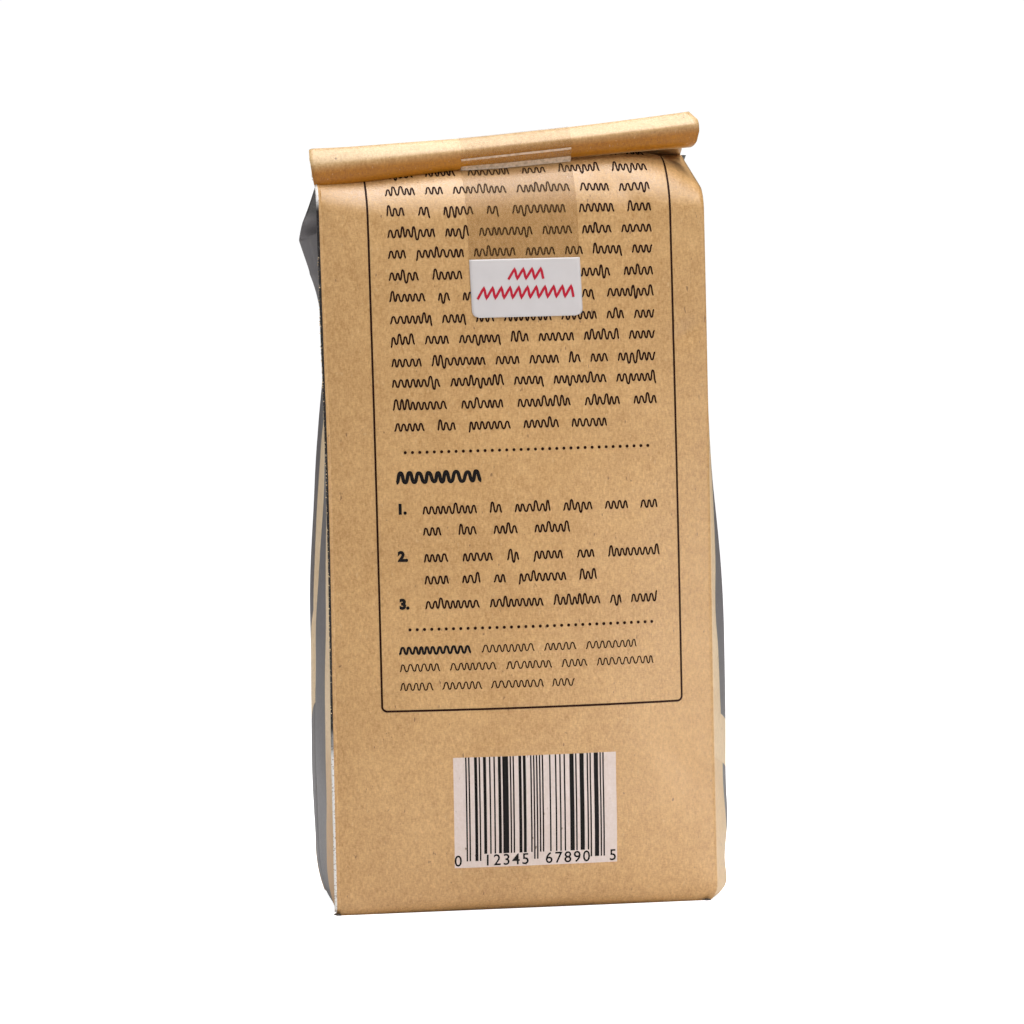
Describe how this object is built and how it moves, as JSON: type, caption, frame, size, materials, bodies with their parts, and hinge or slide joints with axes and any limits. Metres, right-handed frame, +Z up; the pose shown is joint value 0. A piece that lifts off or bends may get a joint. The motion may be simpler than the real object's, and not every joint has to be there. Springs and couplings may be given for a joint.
{
  "type": "coffee bag",
  "caption": "Filled side-gusset kraft coffee bag standing upright, its top rolled down and held by clear resealable tape with a white lift tab.",
  "frame": {"origin": "middle of the bag's footprint, on the surface that it stands on", "axes": "+Z up, from the base to the rolled top; -Y is the front panel, where the tape's lift tab is; +X is the bag's width, to the right seen from the front"},
  "size_m": [0.098, 0.0708, 0.1806],
  "materials": {
    "kraft_film": "satin",
    "clear_tape": "gloss",
    "tab_film": "satin"
  },
  "bodies": {
    "root": {"bag": "kraft_film", "tape": "clear_tape", "tape_tab": "tab_film"}
  },
  "joints": []
}
